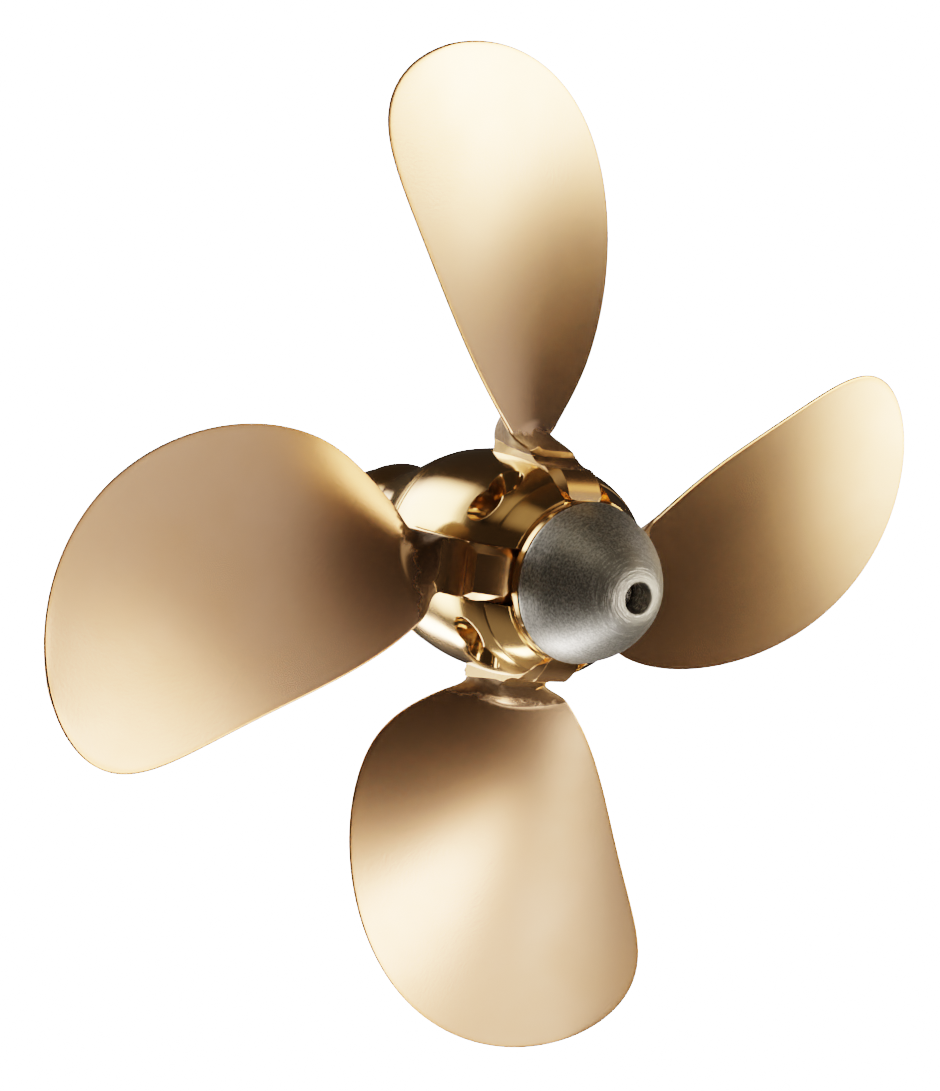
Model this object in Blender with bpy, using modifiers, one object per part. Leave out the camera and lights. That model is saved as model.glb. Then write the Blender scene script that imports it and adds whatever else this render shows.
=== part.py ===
# Four-bladed folding propeller for a boat's shaft, with the blades swung open.
#
# The shaft lies along Y. The origin is the centre of the hub's shaft-side face, +Y points
# to the boat's bow and -Y to the stern, where the zinc anode sits. +Z is up, with blades at
# twelve, three, six and nine o'clock. Seen from the stern, the propeller turns clockwise.
# Stations are distances from the shaft-side face towards the stern, all in metres.

from math import asin, atan2, cos, pi, radians, sin, sqrt, tau

import bmesh
import bpy
from mathutils import Matrix, Vector

# Propeller
TIP_RADIUS = 0.250
BLADE_COUNT = 4
FIT_GAP = 0.0003

# Hub
HUB_LENGTH = 0.1835
HUB_RADIUS = 0.0535
HUB_FACE_RADIUS = 0.0245
HUB_CURVE = (
    (0.001, 0.0253), (0.014, 0.0292), (0.028, 0.0331), (0.045, 0.0318), (0.060, 0.0366),
    (0.080, 0.0455), (0.098, 0.0506), (0.118, 0.0532), (0.135, 0.0535), (0.150, 0.0529),
    (0.163, 0.0510), (0.1725, 0.0474),
)
LAND_START = 0.1733
LAND_OUTER_RADIUS = 0.0466
LAND_INNER_RADIUS = 0.0400
HUB_SIDES = 56

# Shaft bore in the hub
TAPER_MOUTH_RADIUS = 0.0175
TAPER_LENGTH = 0.090
TAPER_END_RADIUS = 0.0130
NUT_CHAMBER_RADIUS = 0.0200
KEYWAY_WIDTH = 0.010
KEYWAY_DEPTH = 0.004
KEYWAY_MARGIN = 0.001

# Pivot pins, each across its blade's slot
PIN_STATION = 0.159
PIN_HEIGHT = 0.0305
PIN_BORE_RADIUS = 0.00775
PIN_LENGTH = 0.044
PIN_CHAMFER = 0.0008
PIN_SIDES = 24

# Lugs of the blades
LUG_HALF_WIDTH = 0.0132
LUG_RADIUS = 0.0235
LUG_SIDES = 48
LUG_CREST = 0.0506
LUG_END_HALF_WIDTH = 0.0074
LUG_END_HEIGHT = 0.0375
LUG_TAPER_DEPTH = 0.0085
LUG_TAPER_MARGIN = 0.002
LUG_OUTLINE = (
    (-0.1670, 0.0490), (-0.1520, 0.0505), (-0.1520, 0.0555), (-0.1205, 0.0555),
    (-0.1235, 0.0475), (-0.1370, 0.0265), (-0.1590, 0.0305),
)

# Slots in the hub, each as wide as a lug
SLOT_CLEARANCE = 0.0012
SLOT_FRONT_STATION = 0.1165
SLOT_FRONT_HEIGHT = 0.050
SLOT_CORNER_STATION = 0.1195
SLOT_CORNER_HEIGHT = 0.044
SLOT_FLOOR_HEIGHT = 0.022
SLOT_MARGIN = 0.01

# Bevel teeth on the lugs
TOOTH_COUNT = 16
TOOTH_ADDENDUM = 0.0016
TOOTH_DEDENDUM = 0.0022
TOOTH_GAP_SHARE = 0.60
TOOTH_FLANK_ANGLE = radians(20)
TOOTH_FIRST_ANGLE = -126.0
TOOTH_LAST_ANGLE = 12.0
GAP_START_SHARE = 0.60
GAP_END_SHARE = 1.10
GAP_TOP_SHARE = 2.5

# Blades: each shape is a polynomial of the share of the way from the root to the tip
ROOT_RADIUS = 0.055
HALF_CHORD_SHAPE = (0.0218, 0.1933, -0.2432, 0.1806)
SKEW_SHAPE = (0.0002, 0.0152, -0.0627, -0.0225)
RAKE_SHAPE = (0.0537, 0.0475, -0.0253)
PITCH_SHAPE = (0.310, 0.049, -0.108)
SEAT_STATION = 0.190
ROOT_THICKNESS = 0.0135
TIP_THICKNESS = 0.0026
EDGE_THICKNESS = 0.0014
BACK_SHARE = 0.8
TRIM_DEPTH = 0.135
TRIM_END = 0.30
TRIM_DROP = 0.24
BLADE_SECTIONS = 12
CHORD_STEPS = 12
LAST_SECTION_ANGLE = radians(87.5)

# Cast block between a lug and its blade
BLOCK_SECTIONS = 8
BLOCK_LOW = 0.0535
BLOCK_TOP = 0.0960
BLOCK_SPACING = 1.3
BLOCK_HALF_WIDTH = 0.0130
BACK_PLACE = -0.1521
BACK_SLOPE = 0.72
BACK_SLOPE_START = 0.0540
BACK_SLOPE_END = 0.0640
BACK_CROWN = 0.0019
FRONT_PLACE = -0.1210
FRONT_SWELL = 0.0055
FRONT_SWELL_LOW = 0.052
FRONT_SWELL_HIGH = 0.080
BLEND_START = 0.0555
QUICK_BLEND = 0.0195
SLOW_BLEND = 0.0400
BLEND_POWER = 2.2
CORNER_SPREAD = radians(60)

# Anode, its seat and its screw
SEAT_RADIUS = 0.0384
SEAT_CHAMFER = 0.0006
ANODE_LENGTH = 0.0412
ANODE_CURVE = (
    (0.0000, 0.0382), (0.0120, 0.0344), (0.0240, 0.0269), (0.0350, 0.0178),
    (0.0400, 0.0112), (0.0412, 0.0079),
)
NOSE_HOLE_RADIUS = 0.0074
NOSE_HOLE_DEPTH = 0.014
SCREW_HEAD_RADIUS = 0.0066
SCREW_HEAD_HEIGHT = 0.008
SCREW_SHANK_RADIUS = 0.0040
SCREW_HOLE_RADIUS = 0.0043
SCREW_TAIL = 0.004
SOCKET_RADIUS = 0.0035
SOCKET_DEPTH = 0.0045
TURNED_SIDES = 48
SCREW_SIDES = 24


def clear_scene():
    for item in list(bpy.data.objects):
        bpy.data.objects.remove(item, do_unlink=True)


def new_collection(name):
    collection = bpy.data.collections.new(name)
    bpy.context.scene.collection.children.link(collection)
    return collection


def make_material(name, colour, metallic, roughness):
    material = bpy.data.materials.new(name)
    material.use_nodes = True
    shader = material.node_tree.nodes["Principled BSDF"]
    shader.inputs["Base Color"].default_value = (*colour, 1.0)
    shader.inputs["Metallic"].default_value = metallic
    shader.inputs["Roughness"].default_value = roughness
    return material


def add_object(name, mesh, collection, material=None):
    item = bpy.data.objects.new(name, mesh)
    collection.objects.link(item)
    if material:
        mesh.materials.clear()
        mesh.materials.append(material)
        mesh.shade_smooth()
        mesh.set_sharp_from_angle(angle=radians(30))
    return item


def add_cutter(name, mesh):
    cutter = add_object(name, mesh, cutters)
    cutter.hide_render = True
    cutter.display_type = "WIRE"
    return cutter


def add_boolean(item, cutter, operation):
    modifier = item.modifiers.new(operation.title(), "BOOLEAN")
    modifier.object = cutter
    modifier.operation = operation
    modifier.solver = "EXACT"


def smooth_curve(points, steps=2):
    """A Catmull-Rom curve through a turned profile's points."""
    ends = [points[0], *points, points[-1]]
    curve = []
    for before, start, end, after in zip(ends, ends[1:], ends[2:], ends[3:]):
        for step in range(steps):
            t = step / steps
            curve.append(tuple(
                0.5 * (2 * b + (c - a) * t + (2 * a - 5 * b + 4 * c - d) * t**2
                       + (3 * b - a - 3 * c + d) * t**3)
                for a, b, c, d in zip(before, start, end, after)
            ))
    curve.append(points[-1])
    return curve


def turned_mesh(name, outline, sides, axis="Y"):
    """A solid turned about an axis from (place along the axis, radius) pairs.

    The outline is a closed loop. A point on the axis has a radius of zero.
    """
    mesh = bpy.data.meshes.new(name)
    if axis == "Y":
        points = [(radius, place, 0) for place, radius in outline]
    else:
        points = [(place, 0, radius) for place, radius in outline]
    closed = outline[0][1] > 0
    count = len(points)
    edges = [(i, i + 1) for i in range(count - 1)]
    if closed:
        edges.append((count - 1, 0))
    mesh.from_pydata(points, edges, [])
    turned = add_object(name, mesh, cutters)
    screw = turned.modifiers.new("Screw", "SCREW")
    screw.axis = axis
    screw.steps = sides
    screw.render_steps = sides
    screw.use_merge_vertices = True
    screw.merge_threshold = 0.00001
    result = evaluated_mesh(turned)
    result.name = name
    bpy.data.objects.remove(turned)
    fix_normals(result)
    return result


def fix_normals(mesh):
    form = bmesh.new()
    form.from_mesh(mesh)
    bmesh.ops.recalc_face_normals(form, faces=form.faces)
    form.to_mesh(mesh)
    form.free()


def evaluated_mesh(item):
    bpy.context.view_layer.update()
    graph = bpy.context.evaluated_depsgraph_get()
    return bpy.data.meshes.new_from_object(item.evaluated_get(graph))


def prism_mesh(name, outline, half_width):
    """A (y, z) outline drawn out along X to both sides."""
    form = bmesh.new()
    face = form.faces.new([form.verts.new((-half_width, y, z)) for y, z in outline])
    drawn = bmesh.ops.extrude_face_region(form, geom=[face])
    moved = [part for part in drawn["geom"] if isinstance(part, bmesh.types.BMVert)]
    bmesh.ops.translate(form, vec=(2 * half_width, 0, 0), verts=moved)
    bmesh.ops.recalc_face_normals(form, faces=form.faces)
    mesh = bpy.data.meshes.new(name)
    form.to_mesh(mesh)
    form.free()
    return mesh


def cylinder_pair_mesh(name, radius, length, offset, along):
    """Two round bars along X or Z, on both sides of the shaft axis."""
    form = bmesh.new()
    for side in (-1, 1):
        if along == "X":
            turn = Matrix.Rotation(pi / 2, 4, "Y")
            place = (0, -PIN_STATION, side * offset)
        else:
            turn = Matrix.Identity(4)
            place = (side * offset, -PIN_STATION, 0)
        bmesh.ops.create_cone(
            form, cap_ends=True, segments=PIN_SIDES, radius1=radius, radius2=radius,
            depth=length, matrix=Matrix.Translation(place) @ turn,
        )
    mesh = bpy.data.meshes.new(name)
    form.to_mesh(mesh)
    form.free()
    return mesh


def box_mesh(name, low, high):
    form = bmesh.new()
    size = Vector(high) - Vector(low)
    middle = (Vector(high) + Vector(low)) / 2
    scale = Matrix.Diagonal((*size, 1))
    bmesh.ops.create_cube(form, size=1, matrix=Matrix.Translation(middle) @ scale)
    mesh = bpy.data.meshes.new(name)
    form.to_mesh(mesh)
    form.free()
    return mesh


def slot_outline():
    """The slot for a blade's lug, from above the hub down past the shaft axis."""
    top = HUB_RADIUS + SLOT_MARGIN
    stern = -HUB_LENGTH - SLOT_MARGIN
    front = -SLOT_FRONT_STATION
    floor = -(PIN_STATION - LUG_RADIUS - SLOT_CLEARANCE)
    upper = [
        (stern, top), (front, top), (front, SLOT_FRONT_HEIGHT),
        (-SLOT_CORNER_STATION, SLOT_CORNER_HEIGHT), (floor, SLOT_FLOOR_HEIGHT),
    ]
    return upper + [(place, -height) for place, height in reversed(upper)]


def make_hub():
    outer = [(0.0, HUB_FACE_RADIUS)] + smooth_curve(HUB_CURVE)
    outer += [(LAND_START, LAND_OUTER_RADIUS), (HUB_LENGTH, LAND_INNER_RADIUS)]
    bore = [
        (HUB_LENGTH, NUT_CHAMBER_RADIUS), (TAPER_LENGTH, NUT_CHAMBER_RADIUS),
        (TAPER_LENGTH, TAPER_END_RADIUS), (0.0, TAPER_MOUTH_RADIUS),
    ]
    outline = [(-station, radius) for station, radius in outer + bore]
    hub = add_object("hub", turned_mesh("hub", outline, HUB_SIDES), parts, bronze)
    slot = prism_mesh("slot", slot_outline(), LUG_HALF_WIDTH + FIT_GAP)
    add_boolean(hub, add_cutter("slot_upright", slot), "DIFFERENCE")
    crosswise = add_cutter("slot_crosswise", slot.copy())
    crosswise.rotation_euler.y = pi / 2
    add_boolean(hub, crosswise, "DIFFERENCE")
    reach = 3 * HUB_RADIUS
    for along in ("X", "Z"):
        bores = cylinder_pair_mesh("pin_bores", PIN_BORE_RADIUS, reach, PIN_HEIGHT, along)
        add_boolean(hub, add_cutter("pin_bores_" + along.lower(), bores), "DIFFERENCE")
    key = box_mesh(
        "keyway", (-KEYWAY_WIDTH / 2, -TAPER_LENGTH - KEYWAY_MARGIN, 0),
        (KEYWAY_WIDTH / 2, KEYWAY_MARGIN, TAPER_MOUTH_RADIUS + KEYWAY_DEPTH),
    )
    add_boolean(hub, add_cutter("keyway", key), "DIFFERENCE")
    return hub


def polynomial(shape, share):
    return sum(factor * share**power for power, factor in enumerate(shape))


def blade_point(share, turn):
    """A point on the blade: share runs from root to tip, and turn runs round the section.

    A turn starts at the trailing edge, runs along the back (towards the bow) to the leading
    edge and returns along the face (towards the stern).
    """
    radius = ROOT_RADIUS + (TIP_RADIUS - ROOT_RADIUS) * share
    along = -cos(turn)
    trim = TRIM_DEPTH * max(TRIM_END - share, 0) ** 2 * (1 + along) / 2
    half_chord = sqrt(max(1 - share**2, 0)) * polynomial(HALF_CHORD_SHAPE, share)
    chordwise = polynomial(SKEW_SHAPE, share) + along * half_chord - trim
    angle = atan2(polynomial(PITCH_SHAPE, share), tau * radius)
    crown = TIP_THICKNESS + (ROOT_THICKNESS - TIP_THICKNESS) * (1 - share) ** 1.5
    bulge = EDGE_THICKNESS + (crown - EDGE_THICKNESS) * (1 - along**2)
    half = bulge / 2 if abs(along) < 1 else 0.0
    lift = bulge * (BACK_SHARE - 0.5) + (half if turn < pi else -half) - TRIM_DROP * trim
    across = chordwise * cos(angle) - lift * sin(angle)
    forward = polynomial(RAKE_SHAPE, share) - SEAT_STATION
    forward += chordwise * sin(angle) + lift * cos(angle)
    return Vector((radius * sin(across / radius), forward, radius * cos(across / radius)))


def smooth_step(value):
    value = min(max(value, 0), 1)
    return value * value * (3 - 2 * value)


def block_corners(height):
    """The block's corners at a height, from the stern-left one round by the bow."""
    rise = min(height, BACK_SLOPE_END) - BACK_SLOPE_START
    back = BACK_PLACE + BACK_SLOPE * rise
    way = (height - FRONT_SWELL_LOW) / (FRONT_SWELL_HIGH - FRONT_SWELL_LOW)
    front = FRONT_PLACE + FRONT_SWELL * sin(pi * min(max(way, 0), 1))
    half = BLOCK_HALF_WIDTH
    return [Vector((x, y, height)) for x, y in (
        (-half, back), (-half, front), (half, front), (half, back),
    )]


def block_point(height, turn):
    """A point round the block, in step with the blade's sections.

    The trailing and leading edges meet two opposite corners. The stern side is domed.
    """
    corners = block_corners(height)
    deep = corners[1].y - corners[0].y
    wide = 2 * BLOCK_HALF_WIDTH
    side = 0 if turn < pi else 2
    way = (turn % pi) / pi * (deep + wide)
    share = way / deep
    if way > deep:
        side += 1
        share = (way - deep) / wide
    spot = corners[side].lerp(corners[(side + 1) % 4], share)
    if side == 3:
        spot.y -= BACK_CROWN * (1 - (spot.x / BLOCK_HALF_WIDTH) ** 2)
    return spot


def block_blend(height, turn):
    """How far a point has left the block for the blade. The free corners leave last."""
    corners = block_corners(height)
    deep = corners[1].y - corners[0].y
    place = pi * deep / (deep + 2 * BLOCK_HALF_WIDTH)
    bow, stern = (
        smooth_step(1 - abs(turn - place - side * pi) / CORNER_SPREAD) for side in (0, 1)
    )
    length = QUICK_BLEND + (SLOW_BLEND - QUICK_BLEND) * bow
    way = min(max((height - BLEND_START) / length, 0), 1)
    quick = 1 - (1 - way) ** BLEND_POWER
    return quick + (smooth_step(way) - quick) * max(bow, stern)


def join_rings(form, rings):
    """Faces between rings that hold the same number of points, and over both ends."""
    count = len(rings[0])
    for low, high in zip(rings, rings[1:]):
        for i in range(count):
            j = (i + 1) % count
            form.faces.new((low[i], low[j], high[j], high[i]))
    form.faces.new(rings[0])
    form.faces.new(rings[-1])


def loft_mesh(name, rings):
    """A closed solid through rings of points."""
    form = bmesh.new()
    join_rings(form, [[form.verts.new(point) for point in ring] for ring in rings])
    bmesh.ops.triangulate(form, faces=[face for face in form.faces if len(face.verts) > 4])
    bmesh.ops.recalc_face_normals(form, faces=form.faces)
    mesh = bpy.data.meshes.new(name)
    form.to_mesh(mesh)
    form.free()
    return mesh


def blade_rings():
    turns = [pi * step / CHORD_STEPS for step in range(2 * CHORD_STEPS)]
    reach = TIP_RADIUS - ROOT_RADIUS
    rings = []
    for step in range(BLOCK_SECTIONS + 1):
        way = (step / BLOCK_SECTIONS) ** BLOCK_SPACING
        height = BLOCK_LOW + (BLOCK_TOP - BLOCK_LOW) * way
        share = max((height - ROOT_RADIUS) / reach, 0)
        rings.append([
            block_point(height, turn).lerp(blade_point(share, turn), block_blend(height, turn))
            for turn in turns
        ])
    first = asin((BLOCK_TOP - ROOT_RADIUS) / reach)
    for step in range(1, BLADE_SECTIONS + 1):
        share = sin(first + (LAST_SECTION_ANGLE - first) * step / BLADE_SECTIONS)
        rings.append([blade_point(share, turn) for turn in turns])
    return rings


def tooth_gap_mesh(name):
    """Wedges that cut the gaps between the bevel teeth, on both faces of the lug.

    Each wedge points at the corner where this pin's axis meets the next one's. The gaps on
    the two sides are half a tooth apart, so that a tooth always meets a gap.
    """
    form = bmesh.new()
    pitch = 360.0 / TOOTH_COUNT
    for side in (-1, 1):
        apex = Vector((side * PIN_HEIGHT, 0, 0))
        angle = -90.0 - 4 * pitch + (pitch / 2 if side < 0 else 0)
        while angle <= TOOTH_LAST_ANGLE:
            if angle >= TOOTH_FIRST_ANGLE:
                add_wedge(form, apex, side, radians(angle))
            angle += pitch
    bmesh.ops.recalc_face_normals(form, faces=form.faces)
    mesh = bpy.data.meshes.new(name)
    form.to_mesh(mesh)
    form.free()
    return mesh


def add_wedge(form, apex, side, angle):
    """One gap: angle 0 points to the stern and 90 degrees points away from the shaft."""
    outward = Vector((0, -cos(angle), sin(angle)))
    sideways = Vector((0, sin(angle), cos(angle)))
    along = LUG_RADIUS * (outward - Vector((side, 0, 0)))
    normal = (Vector((side, 0, 0)) + outward).normalized()
    half_gap = TOOTH_GAP_SHARE * pi * LUG_RADIUS / TOOTH_COUNT
    rings = []
    for scale in (GAP_START_SHARE, GAP_END_SHARE):
        ring = []
        for level, signs in (
            (-TOOTH_DEDENDUM, (-1, 1)), (GAP_TOP_SHARE * TOOTH_ADDENDUM, (1, -1)),
        ):
            half = half_gap + level * sin(TOOTH_FLANK_ANGLE)
            for sign in signs:
                spot = apex + scale * (along + level * normal + sign * half * sideways)
                ring.append(form.verts.new(spot))
        rings.append(ring)
    join_rings(form, rings)


def crest_mesh():
    """A box that cuts the round end down to a flat crest just under the hub's surface."""
    reach = 2 * LUG_RADIUS
    low = LUG_CREST - PIN_HEIGHT
    return box_mesh("lug_crest", (-reach, -reach, low), (reach, reach, reach))


def taper_mesh():
    """Two three-sided bars that narrow the lug's stern end at 45 degrees."""
    form = bmesh.new()
    low = LUG_END_HEIGHT - PIN_HEIGHT
    rise = LUG_HALF_WIDTH + LUG_TAPER_MARGIN - LUG_END_HALF_WIDTH
    near = -LUG_RADIUS + LUG_TAPER_DEPTH
    for side in (-1, 1):
        inner = side * LUG_END_HALF_WIDTH
        outer = side * (LUG_END_HALF_WIDTH + rise)
        outline = ((inner, low), (outer, low), (outer, low + rise))
        join_rings(form, [
            [form.verts.new((x, y, z)) for x, z in outline] for y in (-2 * LUG_RADIUS, near)
        ])
    bmesh.ops.recalc_face_normals(form, faces=form.faces)
    mesh = bpy.data.meshes.new("lug_taper")
    form.to_mesh(mesh)
    form.free()
    return mesh


def make_blade_mesh():
    """One blade in the upright place, with its lug, teeth and pin bore."""
    bevel_radius = PIN_HEIGHT - LUG_HALF_WIDTH + TOOTH_ADDENDUM * sqrt(2)
    end_half_width = PIN_HEIGHT - LUG_RADIUS + TOOTH_ADDENDUM * sqrt(2)
    outline = [
        (-LUG_HALF_WIDTH, 0.0), (-LUG_HALF_WIDTH, bevel_radius), (-end_half_width, LUG_RADIUS),
        (end_half_width, LUG_RADIUS), (LUG_HALF_WIDTH, bevel_radius), (LUG_HALF_WIDTH, 0.0),
    ]
    lug = add_object("lug", turned_mesh("lug", outline, LUG_SIDES, "X"), cutters)
    for cutter_name, mesh in (
        ("tooth_gaps", tooth_gap_mesh("tooth_gaps")), ("lug_crest", crest_mesh()),
        ("lug_taper", taper_mesh()),
    ):
        add_boolean(lug, add_cutter(cutter_name, mesh), "DIFFERENCE")
    round_end = evaluated_mesh(lug)
    round_end.transform(Matrix.Translation((0, -PIN_STATION, PIN_HEIGHT)))
    bpy.data.objects.remove(lug)
    blank = add_object("blade_blank", round_end, cutters)
    block = prism_mesh("lug_block", LUG_OUTLINE, LUG_HALF_WIDTH)
    add_boolean(blank, add_cutter("lug_block", block), "UNION")
    sweep = loft_mesh("blade_sweep", blade_rings())
    add_boolean(blank, add_cutter("blade_sweep", sweep), "UNION")
    bore = bpy.data.meshes.new("pin_bore")
    form = bmesh.new()
    bmesh.ops.create_cone(
        form, cap_ends=True, segments=PIN_SIDES, radius1=PIN_BORE_RADIUS,
        radius2=PIN_BORE_RADIUS, depth=4 * LUG_HALF_WIDTH,
        matrix=Matrix.Translation((0, -PIN_STATION, PIN_HEIGHT)) @ Matrix.Rotation(pi / 2, 4, "Y"),
    )
    form.to_mesh(bore)
    form.free()
    add_boolean(blank, add_cutter("pin_bore", bore), "DIFFERENCE")
    mesh = evaluated_mesh(blank)
    bpy.data.objects.remove(blank)
    mesh.transform(Matrix.Translation((0, PIN_STATION, -PIN_HEIGHT)))
    return mesh


def place_on_pin_axis(item, clock):
    """Puts an object's origin on the pin axis at a clock angle round the shaft."""
    item.rotation_euler = (0, clock, 0)
    item.location = (PIN_HEIGHT * sin(clock), -PIN_STATION, PIN_HEIGHT * cos(clock))


def make_blades():
    mesh = make_blade_mesh()
    for number in range(BLADE_COUNT):
        blade = add_object(f"blade_{number + 1}", mesh.copy(), parts, satin_bronze)
        place_on_pin_axis(blade, tau * number / BLADE_COUNT)


def make_pins():
    radius = PIN_BORE_RADIUS - FIT_GAP
    half = PIN_LENGTH / 2
    outline = [
        (-half, 0.0), (-half, radius - PIN_CHAMFER), (-half + PIN_CHAMFER, radius),
        (half - PIN_CHAMFER, radius), (half, radius - PIN_CHAMFER), (half, 0.0),
    ]
    mesh = turned_mesh("pivot_pin", outline, PIN_SIDES, "X")
    for number in range(BLADE_COUNT):
        pin = add_object(f"pivot_pin_{number + 1}", mesh.copy(), parts, steel)
        place_on_pin_axis(pin, tau * number / BLADE_COUNT)


def make_anode_seat():
    near = -HUB_LENGTH - FIT_GAP
    far = -SEAT_STATION + FIT_GAP
    outline = [
        (near, SCREW_SHANK_RADIUS + FIT_GAP), (near, SEAT_RADIUS),
        (far + SEAT_CHAMFER, SEAT_RADIUS), (far, SEAT_RADIUS - SEAT_CHAMFER),
        (far, SCREW_SHANK_RADIUS + FIT_GAP),
    ]
    add_object("anode_seat", turned_mesh("anode_seat", outline, TURNED_SIDES), parts, bronze)


def make_anode():
    base = -SEAT_STATION
    nose = base - ANODE_LENGTH
    outer = [(base - station, radius) for station, radius in smooth_curve(ANODE_CURVE)]
    outline = outer + [
        (nose, NOSE_HOLE_RADIUS),
        (nose + NOSE_HOLE_DEPTH + SCREW_HEAD_HEIGHT, NOSE_HOLE_RADIUS),
        (nose + NOSE_HOLE_DEPTH + SCREW_HEAD_HEIGHT, SCREW_HOLE_RADIUS),
        (base, SCREW_HOLE_RADIUS),
    ]
    add_object("anode", turned_mesh("anode", outline, TURNED_SIDES), parts, zinc)


def make_anode_screw():
    top = -SEAT_STATION - ANODE_LENGTH + NOSE_HOLE_DEPTH
    under = top + SCREW_HEAD_HEIGHT - FIT_GAP
    tail = -HUB_LENGTH + SCREW_TAIL
    outline = [
        (top + SOCKET_DEPTH, 0.0), (top + SOCKET_DEPTH, SOCKET_RADIUS), (top, SOCKET_RADIUS),
        (top, SCREW_HEAD_RADIUS), (under, SCREW_HEAD_RADIUS), (under, SCREW_SHANK_RADIUS),
        (tail, SCREW_SHANK_RADIUS), (tail, 0.0),
    ]
    add_object("anode_screw", turned_mesh("anode_screw", outline, SCREW_SIDES), parts, steel)


clear_scene()
parts = new_collection("folding_propeller")
cutters = new_collection("cutters")
bronze = make_material("polished_bronze", (0.72, 0.50, 0.26), 1.0, 0.15)
satin_bronze = make_material("satin_bronze", (0.70, 0.52, 0.33), 1.0, 0.35)
zinc = make_material("turned_zinc", (0.50, 0.49, 0.46), 1.0, 0.42)
steel = make_material("stainless_steel", (0.55, 0.54, 0.52), 1.0, 0.25)
make_hub()
make_blades()
make_pins()
make_anode_seat()
make_anode()
make_anode_screw()
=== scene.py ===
# %% [markdown]
# # A folding boat propeller
#
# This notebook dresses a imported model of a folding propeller. Its blades lie back like the
# petals of a closed flower while the boat sails, and swing out when the shaft turns. The
# model gives the sizes, the joints and a plain solid for each piece. The cells below make
# a finer surface for every piece, give it the metal of the real one and light it.

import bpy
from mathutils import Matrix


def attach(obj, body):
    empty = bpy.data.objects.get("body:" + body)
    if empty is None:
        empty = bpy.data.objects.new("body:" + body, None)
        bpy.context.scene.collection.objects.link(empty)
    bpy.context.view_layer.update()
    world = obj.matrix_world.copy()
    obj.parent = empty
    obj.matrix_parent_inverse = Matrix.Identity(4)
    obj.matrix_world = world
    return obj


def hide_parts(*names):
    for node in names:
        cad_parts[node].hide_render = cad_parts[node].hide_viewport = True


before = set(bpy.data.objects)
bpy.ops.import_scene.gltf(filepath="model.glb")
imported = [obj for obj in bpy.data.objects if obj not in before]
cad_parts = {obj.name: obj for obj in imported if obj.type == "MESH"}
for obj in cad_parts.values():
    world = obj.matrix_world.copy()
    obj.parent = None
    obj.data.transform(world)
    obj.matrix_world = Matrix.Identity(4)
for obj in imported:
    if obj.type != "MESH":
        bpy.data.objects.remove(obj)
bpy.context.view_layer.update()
print("nodes:", sorted(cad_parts))

# %% [markdown]
# The modules below are all that the script needs. `bmesh` shapes the pieces, and `mathutils`
# turns and moves them.

# %% Modules
from math import atan2, cos, pi, radians, sin, sqrt, tan, tau

import bmesh
import bpy
from mathutils import Matrix, Vector

# %% [markdown]
# ## The camera
#
# The picture shows the propeller from astern, a little from the left and from above, with
# the camera rolled by seven degrees. A camera's own axes are its columns: X to the right of
# the picture, Y up and Z back, away from what it sees. Building the three from an azimuth,
# a height angle and a roll keeps each of them readable.

# %% Camera
CAMERA_AZIMUTH = radians(-35.0139)
CAMERA_HEIGHT = radians(6.2764)
CAMERA_ROLL = radians(7.2382)
CAMERA_PLACE = (-1.0448, -1.5839, 0.2022)
CAMERA_LENS = 124.02
CAMERA_REACH = 50


def camera_axes(azimuth, height, roll):
    back = Vector((sin(azimuth) * cos(height), -cos(azimuth) * cos(height), sin(height)))
    level = Vector((cos(azimuth), sin(azimuth), 0))
    upright = back.cross(level)
    right = level * cos(roll) + upright * sin(roll)
    return right, back.cross(right), back


camera_data = bpy.data.cameras.new("camera")
camera_data.lens = CAMERA_LENS
camera_data.clip_end = CAMERA_REACH
camera = bpy.data.objects.new("camera", camera_data)
bpy.context.scene.collection.objects.link(camera)
bpy.context.scene.camera = camera
axes = camera_axes(CAMERA_AZIMUTH, CAMERA_HEIGHT, CAMERA_ROLL)
camera.matrix_world = Matrix.Translation(CAMERA_PLACE) @ Matrix(axes).transposed().to_4x4()
print("camera looks along", [round(-value, 3) for value in axes[2]])

# %% [markdown]
# ## Helpers for shapes
#
# Every new piece starts in a `bmesh`. `mesh_from` turns one into a mesh with its faces
# pointing out, and `smooth_shading` keeps its machined edges sharp. A hole or a slot is cut
# by a second shape, the cutter, as on a milling machine: the Boolean modifier takes it away,
# and `carve` keeps the result as a plain mesh.

# %% Making an object from a bmesh
SHARP_ANGLE = radians(32)
MERGE_DISTANCE = 0.000002


def link_object(name, mesh):
    item = bpy.data.objects.new(name, mesh)
    bpy.context.scene.collection.objects.link(item)
    return item


def mesh_from(form, name, *materials):
    """A mesh with its faces pointing out, from a bmesh that is then let go."""
    bmesh.ops.remove_doubles(form, verts=form.verts, dist=MERGE_DISTANCE)
    bmesh.ops.recalc_face_normals(form, faces=form.faces)
    mesh = bpy.data.meshes.new(name)
    form.to_mesh(mesh)
    form.free()
    for material in materials:
        mesh.materials.append(material)
    return mesh


def smooth_shading(mesh):
    """Smooth where the surface bends gently, and sharp where it turns a corner."""
    mesh.shade_smooth()
    mesh.set_sharp_from_angle(angle=SHARP_ANGLE)


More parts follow.
